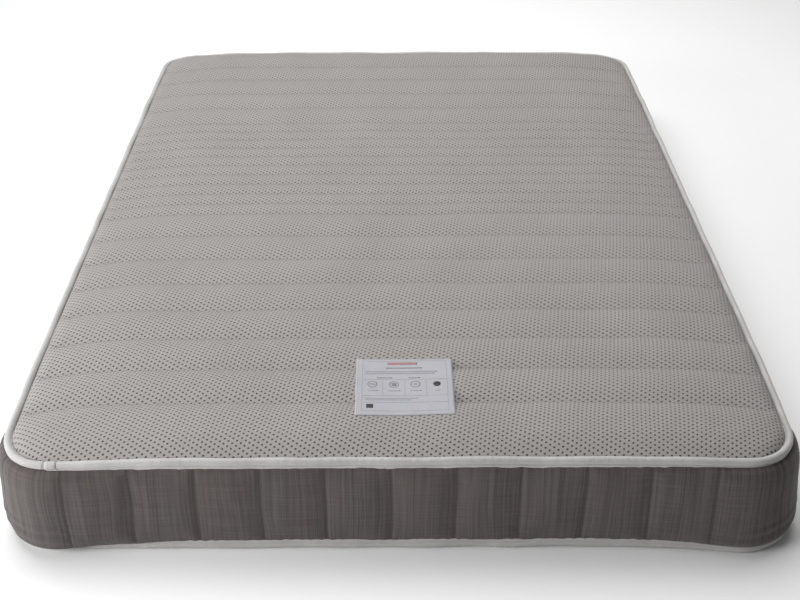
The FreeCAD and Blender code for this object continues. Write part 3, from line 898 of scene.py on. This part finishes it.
class Label:
    """The label's upper surface: it lies over the cover and bridges its hollows."""

    CELLS = 48

    def __init__(self, height):
        self.u = np.linspace(-LABEL_WIDTH / 2, LABEL_WIDTH / 2, self.CELLS + 1)
        self.v = np.linspace(-LABEL_LENGTH / 2, LABEL_LENGTH / 2, self.CELLS + 1)
        under = np.array([[height(LABEL_AT[0] + u, LABEL_AT[1] + v) for u in self.u] for v in self.v])
        level = under.copy()
        for _ in range(250):
            level = np.maximum(self.blurred(level), under)
        self.level = np.maximum(self.blurred(self.blurred(level)), under) + 0.0008

    @staticmethod
    def blurred(level):
        """Each value replaced by the mean of itself and its four neighbours."""
        wide = np.pad(level, 1, mode="edge")
        return (level + wide[:-2, 1:-1] + wide[2:, 1:-1] + wide[1:-1, :-2] + wide[1:-1, 2:]) / 5

    def at(self, u, v, above):
        """Points at label places u across and v up, in metres from its middle, at a height above it."""
        i = np.clip((v / LABEL_LENGTH + 0.5) * self.CELLS, 0, self.CELLS - 1e-6)
        j = np.clip((u / LABEL_WIDTH + 0.5) * self.CELLS, 0, self.CELLS - 1e-6)
        low_i, low_j = i.astype(int), j.astype(int)
        part_i, part_j = i - low_i, j - low_j
        level = self.level
        near = level[low_i, low_j] * (1 - part_j) + level[low_i, low_j + 1] * part_j
        far = level[low_i + 1, low_j] * (1 - part_j) + level[low_i + 1, low_j + 1] * part_j
        z = near * (1 - part_i) + far * part_i
        return np.stack([LABEL_AT[0] + u, LABEL_AT[1] + v, z + above], axis=-1)


def label_sheet(label):
    """The label's cloth."""
    u, v = np.meshgrid(label.u, label.v)
    points, faces = thin_slab(label.at(u, v, 0.0), LABEL_THICKNESS)
    sheet = new_piece("care_label_cloth", points, faces, materials["label_cloth"])
    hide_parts("care_label")
    return sheet


def printed(name, label, boxes, rings, material):
    """Marks on the label, in millimetres: boxes (left, right, low, high) and rings (u, v, inner, outer)."""
    points, faces = [], []

    def add(u, v):
        more, quads = thin_slab(label.at(u, v, PRINT_RAISED), PRINT_THICKNESS)
        first = sum(len(p) for p in points)
        points.append(more)
        faces.extend(tuple(first + k for k in face) for face in quads)

    for left, right, low, high in boxes:
        wide = 2 + round((right - left) / 3)
        tall = 2 + round((high - low) / 3)
        u, v = np.meshgrid(np.linspace(left, right, wide) / 1000, np.linspace(low, high, tall) / 1000)
        add(u, v)
    for u, v, inner, outer in rings:
        for start in (0, 180):
            angle = np.radians(np.linspace(start, start + 180, 13))
            radius = np.array([[outer], [max(inner, 0.05)]]) / 1000
            add(u / 1000 + radius * np.cos(angle), v / 1000 + radius * np.sin(angle))
    return new_piece(name, np.concatenate(points), faces, material)


def label_marks(label):
    """A frame, a heading, bars in place of print, and small round pictures. None of them is lettering."""
    lines = [(-75, 75, 78, 78.8), (-75, 75, -72.8, -72)]
    lines += [(-75.6, -74.8, -72.8, 78.8), (74.8, 75.6, -72.8, 78.8)]
    lines += [(-75, 75, level, level + 0.7) for level in (18, -27, -46)]
    lines += [(across, across + 0.7, -27, 18) for across in (-39, 0, 38)]
    heading = [(-31, 23, 67, 74)]
    strong_bars = [(-34, 32, 55, 58), (-49, -22, 22.5, 25), (6, 28, 22.5, 25)]
    pale_bars = [(-71, 58, 43, 46.5), (-71, 53, 36.5, 40), (-71, 23, -35, -33), (-70, 11, -39.5, -37.5)]
    captions = [(-65, -47, -14, -12), (-30, -8, -14, -12), (9, 30, -14, -12), (53, 62, -14, -12)]
    rings = [(across, 4, 7.2, 8.6) for across in (-57, -19, 19)]
    dots = [(57, 4, 0, 6.5)]
    inner_bars = [(-62, -52, 3, 5), (-23, -15, 0.5, 7.5), (16, 22, 3, 5)]
    return [
        printed("label_frame", label, lines + pale_bars + captions, [], materials["ink_pale"]),
        printed("label_heading", label, heading, [], materials["ink_red"]),
        printed("label_bars", label, strong_bars + inner_bars, rings, materials["ink_grey"]),
        printed("label_pictures", label, [(-67, -55, -63, -51)], dots, materials["ink_black"]),
    ]


# ---------------- the underside

def base():
    """The underside's cloth and wadding: flat where it rests, and rounded up to the bottom seam."""
    radius = CORNER_RADIUS - BASE_INSET
    angles = np.radians(np.arange(90, -1, -9))
    ends = CORE_Y + radius * np.sin(angles)
    y = np.concatenate([-ends, np.linspace(-CORE_Y, CORE_Y, 61)[1:-1], ends[::-1]])
    x = half_width_at(y, radius)[:, None] * packed_to_ends(71, 1.45)
    y = np.repeat(y[:, None], x.shape[1], axis=1)
    into = np.clip(rounded_inset(x, y, radius), 0, BASE_ROUNDING)
    edge = BOTTOM_SEAM - BASE_EDGE
    z = edge * (1 - np.sqrt(1 - (1 - into / BASE_ROUNDING) ** 2))
    spread = np.where(tucked(x, y), 0.0, CORNER_SPREAD) * cornerness(x, y) / CORNER_RADIUS
    x = x + (x - np.clip(x, -CORE_X, CORE_X)) * spread
    y = y + (y - np.clip(y, -CORE_Y, CORE_Y)) * spread
    grid = np.stack([x, y, z], axis=-1)[:, ::-1]
    rim = grid.reshape(-1, 3)[rim_of(*grid.shape[:2])]
    size_x, size_y = HALF_WIDTH - BASE_INSET, HALF_LENGTH - BASE_INSET
    inner = rim * (1 - BASE_FOLD / size_x, 1 - BASE_FOLD / size_y, 0) + UP * edge
    points, faces = closed_sheet(grid, [inner, inner * (1, 1, 0) + UP * BASE_TOP])
    piece = new_piece("underside", points, faces, materials["base_cloth"])
    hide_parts("base_panel", "base_wadding")
    return piece


# ---------------- studio

def studio():
    """Plain pale floor, soft light from the upper left, and the camera."""
    scene = bpy.context.scene
    corners = [(-20, -20, 0), (20, -20, 0), (20, 20, 0), (-20, 20, 0)]
    floor = new_piece("studio_floor", corners, [(0, 1, 2, 3)], floor_material())
    floor.location.z = -0.0003
    world = bpy.data.worlds.new("studio")
    world.use_nodes = True
    background = world.node_tree.nodes["Background"]
    background.inputs["Color"].default_value = (1, 1, 1, 1)
    background.inputs["Strength"].default_value = WORLD_STRENGTH
    scene.world = world
    for name, place, aim, size, power in LIGHTS:
        lamp = bpy.data.lights.new(name, "AREA")
        lamp.size = size
        lamp.energy = power
        light = bpy.data.objects.new(name, lamp)
        light.location = place
        light.rotation_euler = (Vector(aim) - Vector(place)).to_track_quat("-Z", "Y").to_euler()
        scene.collection.objects.link(light)
    lens = bpy.data.cameras.new("camera")
    lens.lens = CAMERA_LENS
    lens.sensor_width = 36
    camera = bpy.data.objects.new("camera", lens)
    camera.location = CAMERA_AT
    camera.rotation_euler = (math.radians(90 - CAMERA_DOWN), 0, math.radians(CAMERA_TURN))
    scene.collection.objects.link(camera)
    bpy.context.scene.camera = camera
    scene.view_settings.view_transform = "Standard"


# ---------------- everything

materials = {
    "knit": knit_material(),
    "border_cloth": border_material(),
    "tape_cloth": tape_material(),
    "label_cloth": label_material(),
    "base_cloth": base_material(),
    "ink_pale": ink_material("ink_pale", (0.30, 0.30, 0.33)),
    "ink_grey": ink_material("ink_grey", (0.19, 0.19, 0.21)),
    "ink_red": ink_material("ink_red", (0.34, 0.17, 0.17)),
    "ink_black": ink_material("ink_black", (0.03, 0.03, 0.032)),
    "thread": thread_material("thread", (0.40, 0.38, 0.365)),
    "tape_thread": thread_material("tape_thread", (0.52, 0.51, 0.50)),
    "dark_thread": thread_material("dark_thread", (0.09, 0.08, 0.078)),
    "wadding": fibre_material("wadding", (0.80, 0.80, 0.78), (0.66, 0.66, 0.64), 160),
    "backing": fibre_material("backing", (0.74, 0.74, 0.74), (0.58, 0.58, 0.58), 420, 0.3, 0.0003),
    "felt": fibre_material("felt", (0.22, 0.21, 0.23), (0.12, 0.115, 0.125), 240),
    "pocket_cloth": fibre_material("pocket_cloth", (0.78, 0.78, 0.81), (0.66, 0.66, 0.69), 520, 0.4, 0.0003),
    "foam": foam_material(),
    "spring_steel": steel_material(),
}


def dress_frame():
    """Gives every CAD node that stays the finish of its slot."""
    for part in frame["record"]["subparts"]:
        finish = materials.get(part["material_slot"])
        node = frame["nodes"][part["node"]]
        if finish:
            node.data.materials.clear()
            node.data.materials.append(finish)


def quilted_pieces():
    """The quilted top, its sewing and the foam under it. The top comes first."""
    top, lines = quilted_top()
    facings = [UP] * len(lines)
    quilting = stitches("quilting_stitches", lines, facings, QUILTING_STITCH, materials["thread"], seed=21)
    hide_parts("quilting_threads")
    return [top, quilting, foam_block()]


def border_pieces():
    """The border and the sewing of its seams."""
    sides, lines = border()
    facings = []
    for line in lines:
        core = np.clip(line[:, :2], (-CORE_X, -CORE_Y), (CORE_X, CORE_Y))
        facing = np.concatenate([line[:, :2] - core, np.zeros((len(line), 1))], axis=1)
        facings.append(facing / np.linalg.norm(facing, axis=1, keepdims=True))
    seams = stitches("border_stitches", lines, facings, BORDER_STITCH, materials["dark_thread"], seed=22)
    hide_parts("border_threads")
    return [sides, seams]


def tape_pieces(name, seam_height, upright, bead, join_at, seed):
    """One tape, its join and its sewing."""
    tape, join, line, facing = bound_edge(name, seam_height, upright, bead, join_at, seed)
    sewn = stitches(name + "_stitches", [line], [facing], TAPE_STITCH, materials["tape_thread"], seed)
    cad = name.replace("_edge", "")
    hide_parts(cad, cad.replace("tape", "seam_edge"))
    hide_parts(cad + "_join")
    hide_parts(cad + "_thread")
    return [tape, join, sewn]


def label_pieces(top):
    """The label lying on the top, its sewing and its print."""
    label = Label(surface_of(top))
    sheet = label_sheet(label)
    marks = label_marks(label)
    share = np.linspace(-1, 1, 60)
    level = share * 0
    half_u, half_v = LABEL_WIDTH / 2 - LABEL_HEM, LABEL_LENGTH / 2 - LABEL_HEM
    lines = []
    for u, v in ((share, level - 1), (level + 1, share), (-share, level + 1), (level - 1, -share)):
        lines.append(label.at(u * half_u, v * half_v, 0.0001))
    tacks = stitches("label_stitches", lines, [UP] * 4, LABEL_STITCH, materials["tape_thread"], seed=23)
    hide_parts("label_thread")
    return [sheet, tacks] + marks


def build():
    """Makes every piece and lets it ride on the one body."""
    made = quilted_pieces()
    top = made[0]
    made += border_pieces()
    made += tape_pieces("top_tape_edge", TOP_SEAM, 1, TOP_BEAD, TOP_JOIN, seed=31)
    made += tape_pieces("bottom_tape_edge", BOTTOM_SEAM, -1, BOTTOM_BEAD, BOTTOM_JOIN, seed=41)
    made += label_pieces(top)
    made.append(base())
    for piece in made:
        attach(piece, "root")


dress_frame()
build()
studio()
